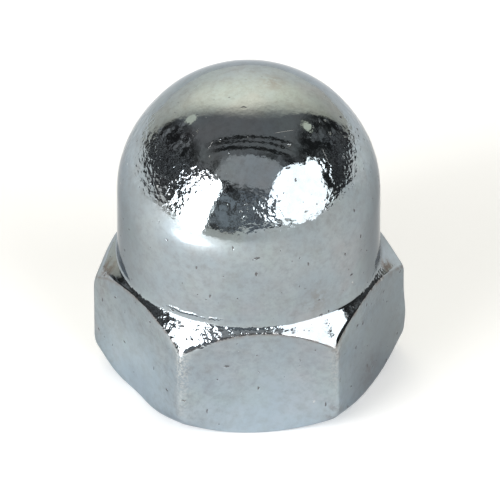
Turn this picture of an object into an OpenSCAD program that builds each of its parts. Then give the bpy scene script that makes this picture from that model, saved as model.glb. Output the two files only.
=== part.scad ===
// Domed cap nut: a hexagon nut whose far end is closed by a dome.
// It is cold formed in one piece of steel, tapped from below and zinc plated.
// The nut stands on its bearing face. The origin is the centre of that face,
// +Z runs up the thread's axis, and two of the flats face -Y and +Y.

/* [Hexagon] */
// Width across the flats
across_flats = 9.8; // [9.6:0.05:12]
// Height from the bearing face to the foot of the dome
hex_height = 4.65; // [4:0.05:6]
// How far the six upright corners are turned back from sharp
corner_trim = 0.04; // [0.02:0.02:0.3]
// Slope of the chamfer from the dome's foot out to the flats, in degrees
upper_chamfer_angle = 46; // [20:1:55]
// Slope of the chamfer from the flats in to the bearing face, in degrees
lower_chamfer_angle = 34; // [15:1:45]
// How far the bearing face's round edge lies inside the flats
bearing_inset = 0.1; // [0.05:0.05:0.6]

/* [Dome] */
// Diameter of the dome and of the straight skirt under it
dome_d = 9.5; // [7.5:0.1:9.5]
// Overall height, from the bearing face to the crown
total_height = 12; // [11:0.1:15]
// Radius of the hollow where the skirt rises from the chamfer
foot_r = 0.25; // [0.1:0.05:0.5]

/* [Thread] */
// Nominal diameter of the metric thread
thread_d = 6; // [5:0.5:7]
// Pitch of the thread
thread_pitch = 1; // [0.5:0.05:1.25]
// Depth of the tapped bore, from the bearing face to the drill point
bore_depth = 8; // [6:0.1:8.5]
// Included angle of the drill point that closes the bore
drill_point_angle = 118; // [100:1:140]
// How far the countersink at the mouth reaches outside the thread
mouth_margin = 0.25; // [0.1:0.05:0.5]
// Included angle of that countersink
mouth_angle = 120; // [90:1:130]

/* [Hidden] */
$fn = 96;
// How much narrower a metric nut's crests are than its nominal diameter, in pitches
CREST_PITCHES = 1.0825;
// How far the hole's section runs out below the bearing face
past = 1;
// How far the hollow at the skirt's foot is sunk past tangent, so that it ends in clean edges
foot_sink = 0.001;

flat_r = across_flats / 2;
sharp_corner_r = flat_r / cos(30);
rim_r = sharp_corner_r - corner_trim;
bearing_r = flat_r - bearing_inset;
dome_r = dome_d / 2;
dome_centre_z = total_height - dome_r;
crest_r = (thread_d - CREST_PITCHES * thread_pitch) / 2;
mouth_r = thread_d / 2 + mouth_margin;

// Half section that trims the hexagon's corners and chamfers its two ends.
module chamfer_section() {
    upper_drop = (rim_r - dome_r) * tan(upper_chamfer_angle);
    lower_rise = (rim_r - bearing_r) * tan(lower_chamfer_angle);
    polygon([
        [0, 0],
        [bearing_r, 0],
        [rim_r, lower_rise],
        [rim_r, hex_height - upper_drop],
        [dome_r, hex_height],
        [0, hex_height]
    ]);
}

// Half section of the dome: a straight skirt under a half round.
module dome_section() {
    square([dome_r, dome_centre_z]);
    intersection() {
        translate([0, dome_centre_z])
            circle(r = dome_r);
        square([dome_r, total_height]);
    }
}

// Half section of the hollow fillet, tangent to the skirt and to the upper chamfer.
module foot_section() {
    slope = upper_chamfer_angle;
    centre = [dome_r + foot_r, hex_height + foot_r * (1 - sin(slope)) / cos(slope)];
    into_skirt = centre - 2 * foot_r * [1, 0];
    into_chamfer = centre - 2 * foot_r * [sin(slope), cos(slope)];
    difference() {
        polygon([centre, into_skirt, [into_skirt[0], into_chamfer[1]], into_chamfer]);
        translate(centre)
            circle(r = foot_r + foot_sink);
    }
}

// Half section of the tapped hole at its crests, with the countersink and the drill point.
module hole_section() {
    mouth_h = (mouth_r - crest_r) / tan(mouth_angle / 2);
    point_h = crest_r / tan(drill_point_angle / 2);
    polygon([
        [0, -past],
        [mouth_r, -past],
        [mouth_r, 0],
        [crest_r, mouth_h],
        [crest_r, bore_depth],
        [0, bore_depth + point_h]
    ]);
}

module cap_nut() {
    color("lightsteelblue")
        difference() {
            union() {
                intersection() {
                    linear_extrude(height = hex_height)
                        circle(r = sharp_corner_r, $fn = 6);
                    rotate_extrude()
                        chamfer_section();
                }
                rotate_extrude() {
                    dome_section();
                    foot_section();
                }
            }
            rotate_extrude()
                hole_section();
        }
}

cap_nut();
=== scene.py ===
"""Looks of the domed cap nut: rounded skin, cut thread, zinc plate, stage and camera."""
import math

import bmesh
import bpy
import numpy as np
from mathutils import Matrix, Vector


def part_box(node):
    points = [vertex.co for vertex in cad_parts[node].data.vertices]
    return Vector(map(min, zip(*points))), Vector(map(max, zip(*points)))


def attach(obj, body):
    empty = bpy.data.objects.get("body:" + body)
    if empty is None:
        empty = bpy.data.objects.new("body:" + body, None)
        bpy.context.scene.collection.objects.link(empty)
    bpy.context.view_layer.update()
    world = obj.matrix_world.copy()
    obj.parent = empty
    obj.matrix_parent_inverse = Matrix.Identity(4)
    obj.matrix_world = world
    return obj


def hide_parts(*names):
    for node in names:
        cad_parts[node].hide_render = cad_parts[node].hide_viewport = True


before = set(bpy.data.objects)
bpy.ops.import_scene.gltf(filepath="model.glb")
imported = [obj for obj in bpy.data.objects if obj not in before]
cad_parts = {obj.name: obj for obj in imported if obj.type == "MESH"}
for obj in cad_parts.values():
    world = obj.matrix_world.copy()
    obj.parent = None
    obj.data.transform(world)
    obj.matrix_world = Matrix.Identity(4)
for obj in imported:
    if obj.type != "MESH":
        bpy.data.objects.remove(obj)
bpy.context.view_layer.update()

# Sizes of the nut, in millimetres and degrees, as the solid has them
MM = 0.001
node_low, node_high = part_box("cap_nut")
FLAT_R = (node_high[1] - node_low[1]) / 2 / MM
RIM_R = node_high[0] / MM
TOTAL_HEIGHT = node_high[2] / MM
HEX_HEIGHT = 4.65
DOME_R = 4.75
DOME_CENTRE_Z = TOTAL_HEIGHT - DOME_R
BEARING_INSET = 0.1
BEARING_R = FLAT_R - BEARING_INSET
UPPER_CHAMFER_ANGLE = 46
LOWER_CHAMFER_ANGLE = 34
UPPER_SLOPE = math.tan(math.radians(UPPER_CHAMFER_ANGLE))
LOWER_SLOPE = math.tan(math.radians(LOWER_CHAMFER_ANGLE))
THREAD_R = 3.0
PITCH = 1.0
CREST_PITCHES = 1.0825
CREST_R = THREAD_R - CREST_PITCHES * PITCH / 2
BORE_DEPTH = 8.0
DRILL_POINT_ANGLE = 118
DRILL_SLOPE = 1 / math.tan(math.radians(DRILL_POINT_ANGLE / 2))
MOUTH_MARGIN = 0.25
MOUTH_R = THREAD_R + MOUTH_MARGIN
MOUTH_ANGLE = 120
MOUTH_SLOPE = 1 / math.tan(math.radians(MOUTH_ANGLE / 2))

# Turn from one corner of the hexagon to the next. Corners are counted round from the one at +X
CORNERS = 6
SIXTH = math.radians(360 / CORNERS)

# Radii that break the nut's edges, in millimetres
CORNER_ROUND = 0.27
BEARING_ROUND = 0.08
LOWER_ROUND = 0.18
UPPER_ROUND = 0.12
FOOT_HOLLOW = 0.25

# How forming departs from the plain solid, in millimetres: the ends of each upright corner are
# rounded further, the chamfer bows out at the left and in at the right, with a power that keeps the bow
# to the sides, and the dome's foot dips at the right
CORNER_WEAR = (0.5, 0.65, 0.65, 1.0, 0.7, 0.65)
LEFT_BULGE = 0.08
RIGHT_HOLLOW = 0.04
BOW_FOCUS = 4
FOOT_DIP = 0.09

# Uneven places of the outside: point, reach and rise, in millimetres
UNEVEN = (
    ((5.6, 0.0, 1.6), 0.7, 0.07),
    ((-4.38, -2.2, 0.1), 1.1, -0.14),
    ((2.5, -4.7, 0.35), 0.9, 0.07),
)

# Slow swell of the outside: length and height of its waves, and the heights over which it fades in
WAVES = ((3.1, 0.004), (2.3, 0.003), (4.2, 0.006), (1.7, 0.0015), (2.7, 0.003))
WAVE_SEED = 5
SWELL_FROM = 0.3
SWELL_RISE = 0.6

# Thread: depth of its groove and half widths of crest and root in pitches, its ends in millimetres, and
# the phases of a pitch at which its section has points
GROOVE_PITCHES = 0.5413
CREST_HALF = 1 / 8
ROOT_HALF = 1 / 16
THREAD_TOP = 7.0
RUN_OUT = 0.9
THREAD_FOOT = 0.1
THREAD_PHASES = (0.0, 0.1, 0.125, 0.15, 0.25, 0.35, 0.42, 0.455, 0.545, 0.58, 0.65, 0.75, 0.85, 0.875, 0.9)

# How finely the skin is divided, which rounded corner of its section is the chamfer's lower edge, and the
# gap in millimetres that its welding closes
FLAT_COLUMNS = 40
CORNER_COLUMNS = 8
ARC_STEPS = 6
LEG_STEPS = (6, 5, 36, 9, 26)
CHAMFER_EDGE = 3
CROWN_STEPS = 76
DRILL_STEPS = 8
BORE_STEPS = 5
MOUTH_STEPS = 4
WELD_GAP = 0.0002

# Where the edges are rubbed: widths in millimetres, and how strongly each upright corner is
RIM_WEAR = 0.07
UPRIGHT_WIDTH = 0.25
UPRIGHT_WEAR = (0.2, 0.2, 0.2, 0.3, 1.0, 0.45)


def smooth_step(low, high, value):
    """0 at low, 1 at high and an even curve between them."""
    share = min(max((value - low) / (high - low), 0.0), 1.0)
    return share * share * (3 - 2 * share)


def hexagon_columns():
    """Angle and radius of every column round the hexagon, with the corners rounded."""
    corner_reach = (FLAT_R - CORNER_ROUND) / math.cos(SIXTH / 2)
    tangent_x = corner_reach + CORNER_ROUND * math.cos(SIXTH / 2)
    tangent_y = CORNER_ROUND * math.sin(SIXTH / 2)
    first = math.atan2(tangent_y, tangent_x)
    last = SIXTH - first
    columns = []
    for corner in range(CORNERS):
        middle = SIXTH * corner
        for step in range(CORNER_COLUMNS):
            turn = SIXTH * (step / CORNER_COLUMNS - 1 / 2)
            x = corner_reach + CORNER_ROUND * math.cos(turn)
            y = CORNER_ROUND * math.sin(turn)
            columns.append((middle + math.atan2(y, x), math.hypot(x, y)))
        for step in range(FLAT_COLUMNS):
            angle = first + (last - first) * step / FLAT_COLUMNS
            columns.append((middle + angle, FLAT_R / math.cos(angle - SIXTH / 2)))
    return columns


def arc_points(before, corner, after, radius, steps):
    """Arc that rounds a corner of a path, from one tangent point to the other."""
    back = Vector(before) - Vector(corner)
    on = Vector(after) - Vector(corner)
    back.normalize()
    on.normalize()
    half = back.angle(on) / 2
    reach = radius / math.tan(half)
    bisector = (back + on).normalized()
    centre = Vector(corner) + bisector * (radius / math.sin(half))
    start = Vector(corner) + back * reach - centre
    end = Vector(corner) + on * reach - centre
    sweep = start.angle_signed(end)
    points = []
    for step in range(steps + 1):
        turn = -sweep * step / steps
        x = start.x * math.cos(turn) - start.y * math.sin(turn)
        y = start.x * math.sin(turn) + start.y * math.cos(turn)
        points.append((centre.x + x, centre.y + y))
    return points


def rounded_path(corners, radii, arc_steps, leg_steps):
    """Path through corners with each inner one rounded, as (radius, height) points."""
    points = [corners[0]]
    for index in range(1, len(corners)):
        if index < len(corners) - 1:
            arc = arc_points(*corners[index - 1:index + 2], radii[index - 1], arc_steps)
        else:
            arc = [corners[index]]
        start = points[-1]
        steps = leg_steps[index - 1]
        for step in range(1, steps):
            share = step / steps
            points.append(tuple(a + (b - a) * share for a, b in zip(start, arc[0])))
        points.extend(arc)
    return points


def outer_path(angle, hex_r):
    """Half section of the outside at an angle where the hexagon's side lies hex_r from the axis."""
    side = math.cos(angle)
    foot = HEX_HEIGHT - FOOT_DIP * max(0.0, side) ** 2
    # A bow of share * (1 - share) peaks at a quarter, so it is taken four times
    bulge = 4 * side ** BOW_FOCUS * (LEFT_BULGE if side < 0 else -RIGHT_HOLLOW)
    reach = (hex_r - DOME_R) / (RIM_R - DOME_R)
    corners = [
        (MOUTH_R, 0.0),
        (BEARING_R, 0.0),
        (hex_r, (hex_r - BEARING_R) * LOWER_SLOPE),
        (hex_r, foot - (hex_r - DOME_R) * UPPER_SLOPE + bulge * reach * (1 - reach)),
        (DOME_R, foot),
        (DOME_R, DOME_CENTRE_Z),
    ]
    corner = round(angle / SIXTH) % CORNERS
    wear = CORNER_WEAR[corner] * smooth_step(FLAT_R, RIM_R, hex_r)
    radii = (BEARING_ROUND, LOWER_ROUND + wear, UPPER_ROUND + wear, FOOT_HOLLOW)
    points = rounded_path(corners, radii, ARC_STEPS, LEG_STEPS)
    for index, (r, z) in enumerate(points):
        if DOME_R < r < hex_r and z > HEX_HEIGHT / 2:
            share = (r - DOME_R) / (RIM_R - DOME_R)
            points[index] = (r, z + bulge * share * (reach - share))
    for step in range(1, CROWN_STEPS + 1):
        turn = math.radians(90) * step / CROWN_STEPS
        points.append((DOME_R * math.cos(turn), DOME_CENTRE_Z + DOME_R * math.sin(turn)))
    return points


def groove(phase):
    """Depth of the thread's groove, where phase runs from 0 at one crest to 1 at the next."""
    away = min(phase, 1 - phase)
    flank = (away - CREST_HALF) / (0.5 - ROOT_HALF - CREST_HALF)
    return GROOVE_PITCHES * PITCH * min(max(flank, 0.0), 1.0)


def thread_rows():
    """Heights at which the thread's rows start, from the top down, and their depths."""
    rows = []
    turns = math.ceil((THREAD_TOP - THREAD_FOOT) / PITCH) + 1
    for turn in range(turns + 1):
        for phase in THREAD_PHASES:
            start = THREAD_TOP - PITCH * (turn + phase)
            if start > THREAD_FOOT - PITCH:
                rows.append((start, groove(phase)))
    rows.append((THREAD_FOOT - PITCH, 0.0))
    return rows


def countersink_r(height):
    """Radius of the countersink at a height above the bearing face."""
    return MOUTH_R - height / MOUTH_SLOPE


def inner_rows(shares):
    """Rows of drill point, bore, thread and mouth, from the tip down, and the thread's first and last.

    Shares are the columns' places round the axis, from 0 to 1.
    """
    rows = []

    def ring(radius, height):
        rows.append([(radius, height)] * len(shares))

    tip_z = BORE_DEPTH + CREST_R * DRILL_SLOPE
    for step in range(DRILL_STEPS):
        share = step / DRILL_STEPS
        ring(CREST_R * share, tip_z + (BORE_DEPTH - tip_z) * share)
    for step in range(BORE_STEPS):
        ring(CREST_R, BORE_DEPTH + (THREAD_TOP - BORE_DEPTH) * step / BORE_STEPS)
    first_thread = len(rows)
    for start, depth in thread_rows():
        row = []
        for share in shares:
            height = min(max(start + PITCH * share, THREAD_FOOT), THREAD_TOP)
            cut = depth * smooth_step(THREAD_TOP, THREAD_TOP - RUN_OUT, height)
            row.append((max(CREST_R + cut, countersink_r(height)), height))
        rows.append(row)
    last_thread = len(rows) - 1
    for step in range(1, MOUTH_STEPS):
        height = THREAD_FOOT * (1 - step / MOUTH_STEPS)
        ring(countersink_r(height), height)
    return rows, first_thread, last_thread


def wave_field(points, waves, seed):
    """Sum of plane waves at points in millimetres. Each of waves is a (length, height) pair."""
    rng = np.random.default_rng(seed)
    total = np.zeros(len(points))
    for length, height in waves:
        heading = rng.normal(size=3)
        heading /= np.linalg.norm(heading)
        total += height * np.sin(points @ heading * (2 * math.pi / length) + rng.uniform(0, 2 * math.pi))
    return total


def swell(outside):
    """Moves the outside's points out and in by the slow swell and at the uneven places."""
    lift = wave_field(outside.reshape(-1, 3), WAVES, WAVE_SEED).reshape(outside.shape[:2])
    lift *= np.clip((outside[:, :, 2] - SWELL_FROM) / SWELL_RISE, 0.0, 1.0)
    for point, reach, rise in UNEVEN:
        gap = np.linalg.norm(outside - np.array(point), axis=2)
        lift += rise * np.exp(-(gap / reach) ** 2)
    centre = np.array([0.0, 0.0, 1.0]) * np.clip(outside[:, :, 2:3], None, DOME_CENTRE_Z)
    away = outside - centre
    away /= np.linalg.norm(away, axis=2, keepdims=True)
    outside += away * lift[:, :, None]


def edge_wear(outside, columns):
    """How rubbed each outside point is: along the chamfer's lower edge, and along the upright corners."""
    steps = np.linalg.norm(np.diff(outside, axis=0), axis=2)
    along = np.concatenate([np.zeros((1, len(columns))), np.cumsum(steps, axis=0)])
    edge_row = sum(LEG_STEPS[:CHAMFER_EDGE]) + CHAMFER_EDGE * ARC_STEPS - ARC_STEPS // 2
    rim = np.exp(-((along - along[edge_row]) / RIM_WEAR) ** 2)
    angles = np.array([angle for angle, _ in columns])
    nearest = np.round(angles / SIXTH)
    aside = (angles - nearest * SIXTH) * RIM_R
    strength = np.array([UPRIGHT_WEAR[int(number) % CORNERS] for number in nearest])
    upright = strength * np.exp(-(aside / UPRIGHT_WIDTH) ** 2)
    below_rim = along < along[edge_row] + UPRIGHT_WIDTH
    return rim, upright[None, :] * below_rim


def skin_faces(row_count, count, first_thread, last_thread):
    """Faces between neighbouring rows. At the seam, a row of the thread meets the one a pitch above it."""

    def vertex(row, column):
        if column < count:
            return row * count + column
        if first_thread <= row <= last_thread:
            row = max(row - len(THREAD_PHASES), first_thread)
        return row * count

    faces = []
    for row in range(row_count - 1):
        for column in range(count):
            corners = dict.fromkeys((vertex(row, column), vertex(row, column + 1),
                                     vertex(row + 1, column + 1), vertex(row + 1, column)))
            if len(corners) > 2:
                faces.append(tuple(corners))
    return faces


def nut_mesh():
    """The whole skin: drill point, thread, mouth, bearing face, hexagon and dome, as one closed mesh."""
    columns = hexagon_columns()
    angles = np.array([angle for angle, _ in columns])
    rows, first_thread, last_thread = inner_rows((angles - angles[0]) / (2 * math.pi))
    first_outside = len(rows)
    rows.extend(zip(*[outer_path(angle, hex_r) for angle, hex_r in columns]))

    grid = np.array(rows)
    radius = grid[:, :, 0]
    height = grid[:, :, 1]
    points = np.stack([radius * np.cos(angles), radius * np.sin(angles), height], axis=-1)
    outside = points[first_outside:]
    swell(outside)
    wear = np.zeros(points.shape[:2] + (4,))
    wear[first_outside:, :, 0], wear[first_outside:, :, 1] = edge_wear(outside, columns)

    faces = skin_faces(len(rows), len(columns), first_thread, last_thread)
    mesh = bpy.data.meshes.new("cap_nut_skin")
    mesh.from_pydata((points.reshape(-1, 3) * MM).tolist(), [], faces)
    mesh.attributes.new("wear", "FLOAT_COLOR", "POINT").data.foreach_set("color", wear.ravel())
    weld = bmesh.new()
    weld.from_mesh(mesh)
    bmesh.ops.remove_doubles(weld, verts=weld.verts, dist=WELD_GAP * MM)
    bmesh.ops.recalc_face_normals(weld, faces=weld.faces)
    weld.to_mesh(mesh)
    weld.free()
    mesh.shade_smooth()
    return mesh


nut = bpy.data.objects.new("cap_nut_skin", nut_mesh())
bpy.context.scene.collection.objects.link(nut)
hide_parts("cap_nut")
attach(nut, "root")


class Tree:
    """Short ways to add nodes to a material's or the world's tree."""

    def __init__(self, owner):
        owner.use_nodes = True
        self.nodes = owner.node_tree.nodes
        self.links = owner.node_tree.links
        self.nodes.clear()

    def add(self, kind, **settings):
        node = self.nodes.new(kind)
        for key, value in settings.items():
            setattr(node, key, value)
        return node

    def feed(self, socket, value):
        """Links a socket to another, or sets its value."""
        if isinstance(value, bpy.types.NodeSocket):
            self.links.new(value, socket)
        else:
            socket.default_value = value

    def split(self, vector):
        """The X, Y and Z of a vector."""
        node = self.add("ShaderNodeSeparateXYZ")
        self.feed(node.inputs[0], vector)
        return node.outputs

    def math(self, operation, *values):
        node = self.add("ShaderNodeMath", operation=operation)
        for socket, value in zip(node.inputs, values):
            self.feed(socket, value)
        return node.outputs[0]

    def degrees(self, operation, *values):
        """Angle in degrees, by an inverse function."""
        return self.math("MULTIPLY", self.math(operation, *values), 180 / math.pi)

    def vector(self, operation, *values):
        node = self.add("ShaderNodeVectorMath", operation=operation)
        for socket, value in zip(node.inputs, values):
            self.feed(socket, value)
        return node.outputs["Value" if operation in ("DOT_PRODUCT", "DISTANCE") else "Vector"]

    def mix(self, share, first, second):
        """Colour between two others. The node's sockets 6 and 7, and 2 of its outputs, are for colours."""
        node = self.add("ShaderNodeMix", data_type="RGBA")
        self.feed(node.inputs[0], share)
        self.feed(node.inputs[6], first)
        self.feed(node.inputs[7], second)
        return node.outputs[2]

    def ramp(self, value, low, high, start=0.0, end=1.0):
        """Even curve from start, where value is low, to end, where it is high."""
        node = self.add("ShaderNodeMapRange", interpolation_type="SMOOTHSTEP")
        given = {"Value": value, "From Min": low, "From Max": high, "To Min": start, "To Max": end}
        for name, setting in given.items():
            self.feed(node.inputs[name], setting)
        return node.outputs["Result"]

    def band(self, value, low, high, soft):
        """1 between low and high and 0 outside them."""
        return self.math("MULTIPLY", self.ramp(value, low - soft, low + soft),
                         self.ramp(value, high - soft, high + soft, 1.0, 0.0))

    def around(self, place, point, core, reach, inside=1.0, outside=0.0):
        """Inside at a point and outside past its reach, in millimetres. Core is the even share of reach."""
        away = self.vector("DISTANCE", place, Vector(point) * MM)
        return self.ramp(away, core * reach * MM, reach * MM, inside, outside)

    def noise(self, place, size, detail=2.0, roughness=0.5, seed=0.0):
        """Noise whose features are about size millimetres across."""
        node = self.add("ShaderNodeTexNoise", noise_dimensions="4D")
        self.feed(node.inputs["Vector"], place)
        node.inputs["W"].default_value = seed
        node.inputs["Scale"].default_value = 1 / (size * MM)
        node.inputs["Detail"].default_value = detail
        node.inputs["Roughness"].default_value = roughness
        return node.outputs["Fac"]

    def cloud(self, place, size, low, high, least=0.0, most=1.0, **settings):
        """Noise spread from least, where it is low, to most, where it is high."""
        return self.ramp(self.noise(place, size, **settings), low, high, least, most)

    def specks(self, place, spacing, radius, stretch):
        """Specks of about radius millimetres, drawn out along the axes that stretch makes small."""
        node = self.add("ShaderNodeTexVoronoi")
        self.feed(node.inputs["Vector"], self.vector("MULTIPLY", place, stretch))
        node.inputs["Scale"].default_value = 1 / (spacing * MM)
        edge = radius / spacing
        return self.ramp(node.outputs["Distance"], SPECK_CORE * edge, SPECK_RIM * edge, 1.0, 0.0)


def grey(level, tint=(1.0, 1.0, 1.0)):
    return (level * tint[0], level * tint[1], level * tint[2], 1.0)


# Colours of the plate
BLUE_ZINC = (0.335, 0.40, 0.45, 1.0)
PALE_ZINC = (0.385, 0.435, 0.465, 1.0)
ROSE_ZINC = (0.41, 0.41, 0.43, 1.0)
GREEN_ZINC = (0.36, 0.43, 0.425, 1.0)
# Dull zinc: the colour of the real mottle, and of the painted shade
DULL_ZINC_AND_SHADE = (0.25, 0.275, 0.29, 1.0)
# Paler, bluer zinc used for painted light
PAINTED_LIGHT_ZINC = (0.47, 0.56, 0.62, 1.0)
RUBBED_ZINC = (0.62, 0.63, 0.62, 1.0)
EDGE_TINT = (0.58, 0.60, 0.63, 1.0)
STAIN = (0.20, 0.175, 0.16, 1.0)
FLECK = (0.075, 0.06, 0.055, 1.0)

# Noise patterns of the plate, by size in millimetres
BASE_CLOUD = {"size": 1.6, "low": 0.35, "high": 0.65, "detail": 3.0}
ROSE_CLOUD = {"size": 2.2, "low": 0.5, "high": 0.68, "most": 0.6, "seed": 3.0}
GREEN_CLOUD = {"size": 2.0, "low": 0.5, "high": 0.68, "most": 0.6, "seed": 8.0}
MOTTLE = {"size": 0.22, "low": 0.4, "high": 0.75, "most": 0.7, "detail": 4.0, "roughness": 0.65, "seed": 1.0}
SMUDGE = {"size": 0.5, "low": 0.42, "high": 0.7, "most": 0.2, "detail": 5.0, "roughness": 0.65, "seed": 5.0}
SMEAR = {"size": 0.3, "low": 0.36, "high": 0.6, "detail": 4.0, "roughness": 0.6, "seed": 12.0}
RIM_STAIN = {"size": 0.25, "low": 0.35, "high": 0.6, "least": 0.2, "most": 0.75, "detail": 3.0, "seed": 2.0}
RUBBING = {"size": 0.1, "low": 0.4, "high": 0.65, "detail": 3.0, "roughness": 0.6, "seed": 7.0}
GLOSS = {"size": 0.4, "low": 0.3, "high": 0.7, "least": 0.035, "most": 0.08, "detail": 3.0}
PEEN_CLOUD = {"size": 0.9, "low": 0.35, "high": 0.6, "least": 0.5, "seed": 6.0}
PEEN_GRAIN = {"size": 0.13, "detail": 1.5, "seed": 4.0}
BEAD_BREAKS = {"size": 0.5, "low": 0.36, "high": 0.5, "most": 0.022, "seed": 9.0}
BEAD_WANDER = {"size": 0.3, "detail": 3.0, "roughness": 0.6, "seed": 11.0}

# Changes with height: from and to in millimetres, and the shares there
# Painted shade: the plate is darkened towards the top of the flats
UPWARD_PAINTED_SHADE = (0.3, 4.4, 0.0, 0.38)
UPWARD_RUBBING = (0.3, 3.5, 0.25, 1.0)
FLECK_FADE = (10.8, 11.4, 1.0, 0.4)
PEEN_START = (8.5, 9.1)
PEEN_END = (10.2, 10.8, 1.0, 0.03)

# Where the plate is darkened by painted shade and where it is brightened by painted light: point in
# millimetres, reach and share
PAINTED_SHADE_PLACES = (
    ((4.8, -2.2, 1.4), 3.4, 0.6),
    ((5.1, -1.3, 0.9), 1.9, 0.45),
    ((4.6, -1.2, 6.3), 3.3, 0.6),
    ((-4.5, -1.6, 6.3), 2.8, 0.26),
    ((-4.6, -2.0, 3.7), 2.2, 0.08),
)
# Painted light: brighter low on the front and left flats
PAINTED_LIGHT_PLACES = (
    ((0.6, -5.0, 0.4), 4.2, 0.5),
    ((-4.5, -2.4, 0.9), 3.0, 0.6),
)

# Stained places: point in millimetres, reach and share
STAINED = (
    ((2.1, -4.3, 5.4), 0.9, 0.5),
    ((4.7, -0.8, 5.3), 1.0, 0.5),
    ((4.4, -2.6, 0.9), 1.3, 0.5),
    ((-3.4, 3.4, 6.0), 1.0, 0.5),
    ((1.0, 4.9, 2.2), 1.1, 0.5),
    ((0.9, 0.2, 11.9), 0.9, 0.5),
    ((2.9, -4.8, 3.5), 0.6, 0.65),
    ((2.8, -4.9, 0.8), 0.8, 0.6),
    ((-5.4, -0.6, 3.6), 0.7, 0.5),
    ((-5.1, -0.3, 4.28), 0.7, 1.0),
    ((4.95, -0.85, 4.27), 0.6, 1.0),
)

# How the peening of the dome varies: point in millimetres, reach and share of its depth
PEENED = (
    ((0.15, -3.1, 10.85), 1.9, 0.06),
    ((-1.3, -3.85, 9.75), 0.95, 0.15),
    ((-1.65, -4.2, 8.9), 1.3, 0.15),
    ((1.9, -3.5, 10.1), 1.35, 0.22),
    ((0.1, -4.2, 9.3), 1.0, 1.3),
)

# How the peening eases from left to right: from and to across the nut in millimetres, and the shares there
PEEN_LEFT = -2.2
PEEN_RIGHT = 1.6
PEEN_SHARES = (0.92, 0.75)

# Where the upper chamfer is rough: from and to across the nut in millimetres, and share
ROUGH_CUT = ((-4.4, -3.0, 0.8), (-2.15, 1.0, 1.1), (3.75, 4.7, 0.8))
ROUGH_CUT_HEIGHTS = (3.5, 4.75)
ROUGH_CUT_SOFT = 0.2

# Where a fine bead is left at the skirt's foot: point in millimetres and reach
BEADED = (((-2.3, -4.15, 4.97), 1.4), ((1.6, 4.4, 4.97), 1.2))
BEAD_HEIGHTS = (4.92, 5.0)
BEAD_SOFT = 0.04
BEAD_STRAY = 0.16

# How much of its reach each kind of place fills evenly
PAINTED_SHADE_CORE = 0.3
PAINTED_LIGHT_CORE = 0.12
STAIN_CORE = 0.1
PEEN_CORE = 0.55
BEAD_CORE = 0.5

# Specks: spacing and radius in millimetres, and stretch, with the edge of each in shares of its radius
DARK_SPECKS = (
    (0.52, 0.036, (1.0, 1.0, 0.4)),
    (0.58, 0.034, (0.35, 0.5, 1.0)),
    (0.36, 0.02, (0.8, 0.8, 0.8)),
)
BRIGHT_SPECKS = (0.85, 0.035, (1.0, 0.8, 0.7))
SPECK_CORE = 0.6
SPECK_RIM = 1.3
SHAKE_SIZE = 0.15
SHAKE = 0.12

# Scratches: middle and heading in millimetres, half length and half width
SCRATCHES = (
    ((1.13, -2.08, 11.36), (0.96, 0.12, 0.25), 0.42, 0.013),
    ((-1.5, -2.3, 11.0), (0.5, 0.6, 0.5), 0.2, 0.012),
    ((2.6, -2.4, 10.5), (-0.3, 0.5, 0.7), 0.3, 0.012),
    ((-2.9, 2.2, 10.2), (0.7, 0.5, 0.5), 0.5, 0.013),
)
SCRATCH_BOUND = 1.2
SCRATCH_FULL_LENGTH = 0.6
SCRATCH_FULL_WIDTH = 0.5

# How strongly the marks colour the plate, and how rough each makes it
FLECK_SHARE = 0.7
BRIGHT_SHARE = 0.8
RUBBED_SHARE = 0.7
FLECK_ROUGHNESS = 0.5
STAIN_ROUGHNESS = 0.3
RUBBED_ROUGHNESS = 0.4
BRIGHT_ROUGHNESS = 0.45

# Heights of the relief, in millimetres
STRUCK_GRAIN = 0.024
PLAIN_GRAIN = 0.0025
DIMPLE_SIZE = 0.24
DIMPLE_DEPTH = 0.02
FLECK_DEPTH = 0.012


def plate_colour(tree, place, height):
    """Zinc in soft clouds of blue, rose and green with a dull mottle, darkened by painted shade up the flats
    and in places, and brightened by painted light in places.
    """
    colour = tree.mix(tree.cloud(place, **BASE_CLOUD), BLUE_ZINC, PALE_ZINC)
    colour = tree.mix(tree.cloud(place, **ROSE_CLOUD), colour, ROSE_ZINC)
    colour = tree.mix(tree.cloud(place, **GREEN_CLOUD), colour, GREEN_ZINC)
    colour = tree.mix(tree.cloud(place, **MOTTLE), colour, DULL_ZINC_AND_SHADE)
    # Painted shade: darker towards the top of the flats
    colour = tree.mix(tree.ramp(height, *UPWARD_PAINTED_SHADE), colour, DULL_ZINC_AND_SHADE)
    # Painted shade: darker reflections on the right side and the left skirt, put into the colour
    for point, reach, share in PAINTED_SHADE_PLACES:
        colour = tree.mix(tree.around(place, point, PAINTED_SHADE_CORE, reach, share), colour, DULL_ZINC_AND_SHADE)
    # Painted light: brighter low on the front and left flats
    for point, reach, share in PAINTED_LIGHT_PLACES:
        colour = tree.mix(tree.around(place, point, PAINTED_LIGHT_CORE, reach, share), colour, PAINTED_LIGHT_ZINC)
    return colour


def stain_share(tree, place, rim):
    """Thin smudges all over, smears at the stained places, and a broken line along the chamfer's edge."""
    near = 0.0
    for point, reach, share in STAINED:
        near = tree.math("MAXIMUM", near, tree.around(place, point, STAIN_CORE, reach, share))
    smear = tree.math("MULTIPLY", tree.cloud(place, **SMEAR), near)
    stain = tree.math("MAXIMUM", tree.cloud(place, **SMUDGE), smear)
    line = tree.math("MULTIPLY", rim, tree.cloud(place, **RIM_STAIN))
    return tree.math("MAXIMUM", stain, line)


def shaken_place(tree, place):
    """The place, shaken by a fine noise, so that specks and dimples come out uneven."""
    noise = tree.add("ShaderNodeTexNoise")
    tree.feed(noise.inputs["Vector"], place)
    noise.inputs["Scale"].default_value = 1 / (SHAKE_SIZE * MM)
    return tree.vector("ADD", place, tree.vector("MULTIPLY", noise.outputs["Color"], (SHAKE * MM,) * 3))


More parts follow.
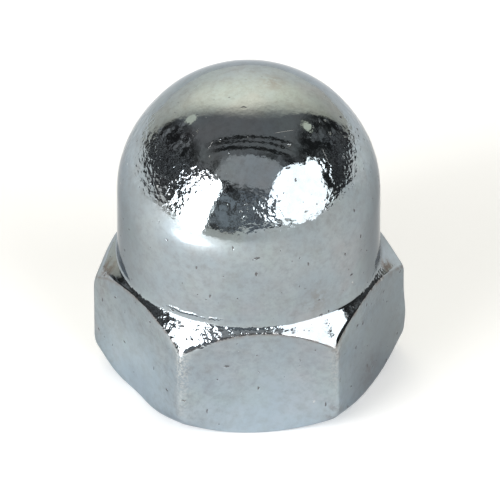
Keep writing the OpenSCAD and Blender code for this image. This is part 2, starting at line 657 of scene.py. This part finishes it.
def fleck_share(tree, shaken, height):
    """Small dark flecks, fainter on the crown."""
    fleck = 0.0
    for spacing, radius, stretch in DARK_SPECKS:
        fleck = tree.math("MAXIMUM", fleck, tree.specks(shaken, spacing, radius, stretch))
    return tree.math("MULTIPLY", fleck, tree.ramp(height, *FLECK_FADE))


def bright_share(tree, place, shaken):
    """Bright specks and fine scratches."""
    bright = tree.specks(shaken, *BRIGHT_SPECKS)
    for middle, heading, half, width in SCRATCHES:
        offset = tree.vector("SUBTRACT", place, Vector(middle) * MM)
        along = Vector(heading).normalized()
        outward = Vector((middle[0], middle[1], max(middle[2] - DOME_CENTRE_Z, 0.0)))
        across = along.cross(outward).normalized()
        run = tree.math("ABSOLUTE", tree.vector("DOT_PRODUCT", offset, along))
        aside = tree.math("ABSOLUTE", tree.vector("DOT_PRODUCT", offset, across))
        line = tree.math("MULTIPLY", tree.ramp(run, SCRATCH_FULL_LENGTH * half * MM, half * MM, 1.0, 0.0),
                         tree.ramp(aside, SCRATCH_FULL_WIDTH * width * MM, width * MM, 1.0, 0.0))
        near = tree.around(place, middle, 1 / SCRATCH_BOUND, SCRATCH_BOUND * half)
        bright = tree.math("MAXIMUM", bright, tree.math("MULTIPLY", line, near))
    return bright


def rubbed_share(tree, place, height, upright):
    """Rubbed grain along the upright corners, stronger towards their tops."""
    rubbed = tree.math("MULTIPLY", upright, tree.ramp(height, *UPWARD_RUBBING))
    return tree.math("MULTIPLY", rubbed, tree.cloud(place, **RUBBING))


def struck_share(tree, place, height, across):
    """How deeply the surface is peened: in a belt low on the dome, and at the chamfer's rough cuts."""
    struck = tree.math("MULTIPLY", tree.ramp(height, *PEEN_START), tree.ramp(height, *PEEN_END))
    for point, reach, share in PEENED:
        struck = tree.math("MULTIPLY", struck, tree.around(place, point, PEEN_CORE, reach, share, 1.0))
    struck = tree.math("MULTIPLY", struck, tree.cloud(place, **PEEN_CLOUD))
    easing = tree.ramp(across, PEEN_LEFT * MM, PEEN_RIGHT * MM, *PEEN_SHARES)
    struck = tree.math("MULTIPLY", struck, easing)
    rough = 0.0
    for low, high, share in ROUGH_CUT:
        stretch = tree.band(across, low * MM, high * MM, ROUGH_CUT_SOFT * MM)
        rough = tree.math("MAXIMUM", rough, tree.math("MULTIPLY", stretch, share))
    chamfer = tree.band(height, *ROUGH_CUT_HEIGHTS, ROUGH_CUT_SOFT)
    return tree.math("MAXIMUM", struck, tree.math("MULTIPLY", chamfer, rough))


def bead_relief(tree, place, height):
    """Broken bead that wanders along the skirt's foot."""
    stray = tree.math("MULTIPLY_ADD", tree.noise(place, **BEAD_WANDER), 2 * BEAD_STRAY, -BEAD_STRAY)
    line = tree.band(tree.math("ADD", height, stray), *BEAD_HEIGHTS, BEAD_SOFT)
    bead = tree.math("MULTIPLY", line, tree.cloud(place, **BEAD_BREAKS))
    near = 0.0
    for point, reach in BEADED:
        near = tree.math("MAXIMUM", near, tree.around(place, point, BEAD_CORE, reach))
    return tree.math("MULTIPLY", bead, near)


def plate_relief(tree, place, shaken, height, struck, fleck):
    """Height of the fine relief in millimetres: grain, dimples, pits at the flecks, and the bead."""
    grain_height = tree.math("MULTIPLY_ADD", struck, STRUCK_GRAIN, PLAIN_GRAIN)
    relief = tree.math("MULTIPLY", tree.noise(place, **PEEN_GRAIN), grain_height)
    dimples = tree.add("ShaderNodeTexVoronoi")
    tree.feed(dimples.inputs["Vector"], shaken)
    dimples.inputs["Scale"].default_value = 1 / (DIMPLE_SIZE * MM)
    dimple_height = tree.math("MULTIPLY", struck, DIMPLE_DEPTH)
    relief = tree.math("MULTIPLY_ADD", dimples.outputs["Distance"], dimple_height, relief)
    relief = tree.math("MULTIPLY_ADD", fleck, -FLECK_DEPTH, relief)
    return tree.math("ADD", relief, bead_relief(tree, place, height))


def zinc_plate():
    """Bright zinc plate, peened low on the dome, with flecks, stains and rubbed edges."""
    material = bpy.data.materials.new("zinc_plate")
    tree = Tree(material)
    place = tree.add("ShaderNodeTexCoord").outputs["Object"]
    across, _, up = tree.split(place)
    height = tree.math("MULTIPLY", up, 1 / MM)
    edges = tree.add("ShaderNodeSeparateColor")
    tree.feed(edges.inputs[0], tree.add("ShaderNodeAttribute", attribute_name="wear").outputs["Color"])
    rim, upright = edges.outputs[0], edges.outputs[1]

    shaken = shaken_place(tree, place)
    stain = stain_share(tree, place, rim)
    fleck = fleck_share(tree, shaken, height)
    bright = bright_share(tree, place, shaken)
    rubbed = rubbed_share(tree, place, height, upright)
    struck = struck_share(tree, place, height, across)

    colour = tree.mix(stain, plate_colour(tree, place, height), STAIN)
    colour = tree.mix(tree.math("MULTIPLY", fleck, FLECK_SHARE), colour, FLECK)
    colour = tree.mix(tree.math("MULTIPLY", bright, BRIGHT_SHARE), colour, RUBBED_ZINC)
    colour = tree.mix(tree.math("MULTIPLY", rubbed, RUBBED_SHARE), colour, RUBBED_ZINC)

    roughness = tree.cloud(place, **GLOSS)
    for share, level in ((fleck, FLECK_ROUGHNESS), (stain, STAIN_ROUGHNESS), (rubbed, RUBBED_ROUGHNESS),
                         (bright, BRIGHT_ROUGHNESS)):
        roughness = tree.math("MAXIMUM", roughness, tree.math("MULTIPLY", share, level))

    bump = tree.add("ShaderNodeBump")
    bump.inputs["Strength"].default_value = 1.0
    bump.inputs["Distance"].default_value = MM
    tree.feed(bump.inputs["Height"], plate_relief(tree, place, shaken, height, struck, fleck))

    shader = tree.add("ShaderNodeBsdfPrincipled")
    shader.inputs["Metallic"].default_value = 1.0
    shader.inputs["Specular Tint"].default_value = EDGE_TINT
    tree.feed(shader.inputs["Base Color"], colour)
    tree.feed(shader.inputs["Roughness"], roughness)
    tree.feed(shader.inputs["Normal"], bump.outputs["Normal"])
    out = tree.add("ShaderNodeOutputMaterial")
    tree.links.new(shader.outputs[0], out.inputs["Surface"])
    return material


nut.data.materials.append(zinc_plate())

# Floor: size in metres and grey. Its own glow rises behind the nut, from and to in millimetres
FLOOR_SIZE = 2.0
FLOOR_GREY = grey(0.9)
GLOW_FROM = 5
GLOW_TO = 30
GLOW_NEAR = 0.18
GLOW_FAR = 0.6


def floor_material():
    """Pale floor with a glow that the camera, mirrors and glass see, and that lights nothing else."""
    material = bpy.data.materials.new("floor")
    tree = Tree(material)
    diffuse = tree.add("ShaderNodeBsdfDiffuse")
    diffuse.inputs["Color"].default_value = FLOOR_GREY
    path = tree.add("ShaderNodeLightPath")
    seen = tree.math("MAXIMUM", path.outputs["Is Camera Ray"], path.outputs["Is Glossy Ray"])
    seen = tree.math("MAXIMUM", seen, path.outputs["Is Transmission Ray"])
    back = tree.split(tree.add("ShaderNodeTexCoord").outputs["Object"])["Y"]
    level = tree.ramp(back, GLOW_FROM * MM, GLOW_TO * MM, GLOW_NEAR, GLOW_FAR)
    glow = tree.add("ShaderNodeEmission")
    tree.feed(glow.inputs["Strength"], tree.math("MULTIPLY", seen, level))
    both = tree.add("ShaderNodeAddShader")
    tree.links.new(diffuse.outputs[0], both.inputs[0])
    tree.links.new(glow.outputs[0], both.inputs[1])
    out = tree.add("ShaderNodeOutputMaterial")
    tree.links.new(both.outputs[0], out.inputs["Surface"])
    return material


def make_floor():
    half = FLOOR_SIZE / 2
    corners = [(-half, -half, 0), (half, -half, 0), (half, half, 0), (-half, half, 0)]
    mesh = bpy.data.meshes.new("floor")
    mesh.from_pydata(corners, [], [(0, 1, 2, 3)])
    mesh.materials.append(floor_material())
    floor = bpy.data.objects.new("floor", mesh)
    bpy.context.scene.collection.objects.link(floor)


def direction(azimuth, elevation):
    """Unit vector from the nut. Azimuth 0 is the camera's side, and positive is to the picture's right."""
    a = math.radians(azimuth)
    e = math.radians(elevation)
    return Vector((math.sin(a) * math.cos(e), -math.cos(a) * math.cos(e), math.sin(e)))


# Room that the nut mirrors, by direction in degrees. Lift runs from 0 at the horizon behind, through 90
# overhead, to 180 at the horizon in front. Side runs from left to right, and behind is the azimuth from
# the back. Two numbers are the ends of a ramp, four give its two values as well, and three are a band's
# ends and softness. Clutter is a noise from 0 to 1.
CLUTTER_SCALE = 11.0
CLUTTER_DETAIL = 4.0
CLUTTER_ROUGHNESS = 0.65

# Dark front with unlit things in it, lighter at the left
FRONT_DARK = grey(0.025)
THINGS_CLUTTER = (0.46, 0.66)
THINGS_SIDE = (-30, 30)
THINGS_LEFT = grey(0.48)
THINGS_RIGHT = grey(0.26)

# Small lit pieces low in front
PIECES_LIFT = (139, 150)
PIECES_SIDE = (-34, 18, 6)
PIECES_CLUTTER = (0.42, 0.56)
PIECES_DARK = grey(0.11)
PIECES_LIT = grey(0.45, (0.92, 1.0, 1.1))

# Grey ceiling
CEILING_LIFT = (117, 107)
CEILING_SIDE = (-42, 40, 6)
CEILING_GREY = grey(0.27)

# Dark lines across the ceiling: lift of the middle, half width and slope
CEILING_LINES = ((95.5, 1.4, 0.03), (100.0, 1.1, 0.10), (106.0, 1.7, 0.14))
LINE_SOFT = 0.8
LINE_SIDE = (-32, 36, 8)
LINE_DARK = grey(0.03)

# Grey patch with rounded corners and an uneven edge
PATCH_SIDE = 3.0
PATCH_HALF_WIDTH = 31.0
PATCH_LIFT = 127.5
PATCH_HALF_HEIGHT = 14.5
PATCH_SLOPE = 0.2
PATCH_POWER = 3.0
PATCH_CLUTTER = (0.3, 0.7, -0.5, 0.5)
PATCH_EDGE = (0.7, 1.1, 1.0, 0.0)
PATCH_GREY = grey(0.6)

# Lit sheet behind, which narrows upward between slanted sides
SHEET_MIDDLE_BEHIND = (-22, 24, 16)
SHEET_LOW_SIDES = grey(1.0, (1.04, 1.0, 0.87))
SHEET_LOW_MIDDLE = grey(1.38, (1.04, 1.0, 0.9))
SHEET_HIGH = grey(1.58, (1.2, 1.14, 0.92))
SHEET_RISE = (8, 42)
SHEET_SLANT = 0.42
SHEET_SLANT_START = -13.0
SHEET_LEFT = (-70, -20)
SHEET_RIGHT = (15, 85, 1.0, 0.0)
SHEET_BEHIND = (-49, 51.5, 2)
SHEET_TOP = (54, 80, 1.0, 0.0)

# Round lights of the room: azimuth, elevation, radius, softness and colour
PALE_LIGHT = grey(1.0, (1.1, 1.1, 0.9))
ROOM_LIGHTS = (
    (-128, 40, 4.2, 0.7, PALE_LIGHT),
    (113, 41, 3.8, 0.7, PALE_LIGHT),
    (24, 22, 8.5, 1.0, grey(3.0)),
    (73.5, 32.2, 6.7, 1.0, grey(4.5)),
)


def dark_front(tree, lift, side, clutter):
    """Front and ceiling of the room: clutter, lit pieces, dark lines and the grey patch."""
    things = tree.mix(tree.ramp(side, *THINGS_SIDE), THINGS_LEFT, THINGS_RIGHT)
    colour = tree.mix(tree.ramp(clutter, *THINGS_CLUTTER), FRONT_DARK, things)
    low_front = tree.math("MULTIPLY", tree.ramp(lift, *PIECES_LIFT), tree.band(side, *PIECES_SIDE))
    pieces = tree.mix(tree.ramp(clutter, *PIECES_CLUTTER), PIECES_DARK, PIECES_LIT)
    colour = tree.mix(low_front, colour, pieces)
    ceiling = tree.math("MULTIPLY", tree.ramp(lift, *CEILING_LIFT), tree.band(side, *CEILING_SIDE))
    colour = tree.mix(ceiling, colour, CEILING_GREY)
    for middle, half, slope in CEILING_LINES:
        level = tree.math("MULTIPLY_ADD", side, -slope, lift)
        line = tree.math("MULTIPLY", tree.band(level, middle - half, middle + half, LINE_SOFT),
                         tree.band(side, *LINE_SIDE))
        colour = tree.mix(line, colour, LINE_DARK)
    across = tree.math("DIVIDE", tree.math("SUBTRACT", side, PATCH_SIDE), PATCH_HALF_WIDTH)
    level = tree.math("MULTIPLY_ADD", side, -PATCH_SLOPE, lift)
    up = tree.math("DIVIDE", tree.math("SUBTRACT", level, PATCH_LIFT), PATCH_HALF_HEIGHT)
    away = tree.math("ADD", tree.math("POWER", tree.math("ABSOLUTE", across), PATCH_POWER),
                     tree.math("POWER", tree.math("ABSOLUTE", up), PATCH_POWER))
    away = tree.math("ADD", away, tree.ramp(clutter, *PATCH_CLUTTER))
    return tree.mix(tree.ramp(away, *PATCH_EDGE), colour, PATCH_GREY)


def sheet_colour(tree, behind, elevation):
    """Lit sheet: brighter in its middle low down, and warm and brightest high up."""
    low = tree.mix(tree.band(behind, *SHEET_MIDDLE_BEHIND), SHEET_LOW_SIDES, SHEET_LOW_MIDDLE)
    return tree.mix(tree.ramp(elevation, *SHEET_RISE), low, SHEET_HIGH)


def sheet_share(tree, behind, lift):
    """Where the sheet is: between its slanted sides, behind the nut and below its top edge."""
    slant = tree.math("MULTIPLY_ADD", lift, SHEET_SLANT, SHEET_SLANT_START)
    share = tree.math("MULTIPLY", tree.ramp(tree.math("SUBTRACT", behind, slant), *SHEET_LEFT),
                      tree.ramp(tree.math("ADD", behind, slant), *SHEET_RIGHT))
    share = tree.math("MULTIPLY", share, tree.band(behind, *SHEET_BEHIND))
    return tree.math("MULTIPLY", share, tree.ramp(lift, *SHEET_TOP))


def make_world():
    """Room round the stage, by direction: dark in front and a lit sheet behind."""
    world = bpy.data.worlds.new("studio")
    bpy.context.scene.world = world
    tree = Tree(world)
    heading = tree.add("ShaderNodeTexCoord").outputs["Generated"]
    x, y, z = tree.split(heading)
    elevation = tree.degrees("ARCSINE", z)
    behind = tree.degrees("ARCTAN2", x, y)
    lift = tree.degrees("ARCTAN2", z, y)
    side = tree.degrees("ARCSINE", x)
    clutter = tree.add("ShaderNodeTexNoise")
    tree.feed(clutter.inputs["Vector"], heading)
    clutter.inputs["Scale"].default_value = CLUTTER_SCALE
    clutter.inputs["Detail"].default_value = CLUTTER_DETAIL
    clutter.inputs["Roughness"].default_value = CLUTTER_ROUGHNESS

    colour = dark_front(tree, lift, side, clutter.outputs["Fac"])
    colour = tree.mix(sheet_share(tree, behind, lift), colour, sheet_colour(tree, behind, elevation))
    for azimuth, height, radius, soft, light in ROOM_LIGHTS:
        near = tree.vector("DOT_PRODUCT", heading, direction(azimuth, height))
        edge = math.cos(math.radians(radius + soft))
        core = math.cos(math.radians(radius - soft))
        colour = tree.mix(tree.ramp(near, edge, core), colour, light)
    back = tree.add("ShaderNodeBackground")
    tree.feed(back.inputs["Color"], colour)
    out = tree.add("ShaderNodeOutputWorld")
    tree.links.new(back.outputs[0], out.inputs["Surface"])


# Lamps on the nut: azimuth and elevation in degrees, distance in metres, width and height as the angles
# that they fill, radiance, shape and lean in degrees
LAMPS = {
    "left_lamp": (-51, 18, 0.07, 29, 47, 8.0, "RECTANGLE", 10),
    "right_lamp": (45, 22.5, 0.40, 52, 49, 3.2, "ELLIPSE", 0),
}

# Lamp over the floor: azimuth in degrees, and distance, height and size in metres
FLOOR_LAMP_AZIMUTH = -50
FLOOR_LAMP_DISTANCE = 0.037
FLOOR_LAMP_HEIGHT = 0.005
FLOOR_LAMP_SIZE = 0.015
FLOOR_LAMP_RADIANCE = 10.0


def add_lamp(name, azimuth, elevation, distance, width, height, radiance, shape, lean):
    """Soft lamp that faces the nut."""
    light = bpy.data.lights.new(name, "AREA")
    light.shape = shape
    light.size = 2 * distance * math.tan(math.radians(width / 2))
    light.size_y = 2 * distance * math.tan(math.radians(height / 2))
    area = light.size * light.size_y * (1.0 if shape == "RECTANGLE" else math.pi / 4)
    light.energy = radiance * math.pi * area
    lamp = bpy.data.objects.new(name, light)
    place = direction(azimuth, elevation) * distance
    place.z += TOTAL_HEIGHT / 2 * MM
    lamp.location = place
    lamp.rotation_euler = direction(azimuth, elevation).to_track_quat("Z", "Y").to_euler()
    lamp.rotation_euler.rotate_axis("Z", math.radians(-lean))
    lamp.visible_camera = False
    bpy.context.scene.collection.objects.link(lamp)


def add_floor_lamp():
    """Small lamp that hangs over the floor at the left and lights only a patch of it."""
    light = bpy.data.lights.new("floor_lamp", "AREA")
    light.shape = "DISK"
    light.size = FLOOR_LAMP_SIZE
    light.energy = FLOOR_LAMP_RADIANCE * math.pi * math.pi * (light.size / 2) ** 2
    lamp = bpy.data.objects.new("floor_lamp", light)
    lamp.location = direction(FLOOR_LAMP_AZIMUTH, 0) * FLOOR_LAMP_DISTANCE
    lamp.location.z += FLOOR_LAMP_HEIGHT
    lamp.visible_camera = False
    lamp.visible_glossy = False
    bpy.context.scene.collection.objects.link(lamp)


make_floor()
make_world()
for lamp_name, settings in LAMPS.items():
    add_lamp(lamp_name, *settings)
add_floor_lamp()

# Camera at the photograph's viewing angle, in degrees and millimetres. The scale is in pixels for each
# millimetre, the target's place in the picture in pixels, and the clip in metres
CAMERA_AZIMUTH = -4.03
CAMERA_ELEVATION = 36.56
CAMERA_DISTANCE = 482.6
CAMERA_TARGET_Z = 5.0
CAMERA_ROLL = 0.11
CAMERA_SCALE = 27.72
TARGET_PIXEL = (248.79, 241.67)
PICTURE_SIZE = 500
SENSOR = 36.0
CLIP_START = 0.01


def make_camera():
    data = bpy.data.cameras.new("camera")
    data.sensor_width = SENSOR
    data.lens = CAMERA_SCALE * CAMERA_DISTANCE * SENSOR / PICTURE_SIZE
    data.clip_start = CLIP_START
    camera = bpy.data.objects.new("camera", data)
    bpy.context.scene.collection.objects.link(camera)
    back = direction(CAMERA_AZIMUTH, CAMERA_ELEVATION)
    right = Vector((0, 0, 1)).cross(back).normalized()
    up = back.cross(right)
    aim_right = (PICTURE_SIZE / 2 - TARGET_PIXEL[0]) / CAMERA_SCALE
    aim_up = (TARGET_PIXEL[1] - PICTURE_SIZE / 2) / CAMERA_SCALE
    target = Vector((0, 0, CAMERA_TARGET_Z)) + right * aim_right + up * aim_up
    camera.location = (target + back * CAMERA_DISTANCE) * MM
    camera.rotation_euler = back.to_track_quat("Z", "Y").to_euler()
    camera.rotation_euler.rotate_axis("Z", math.radians(-CAMERA_ROLL))
    bpy.context.scene.camera = camera


make_camera()
bpy.context.scene.view_settings.view_transform = "Standard"
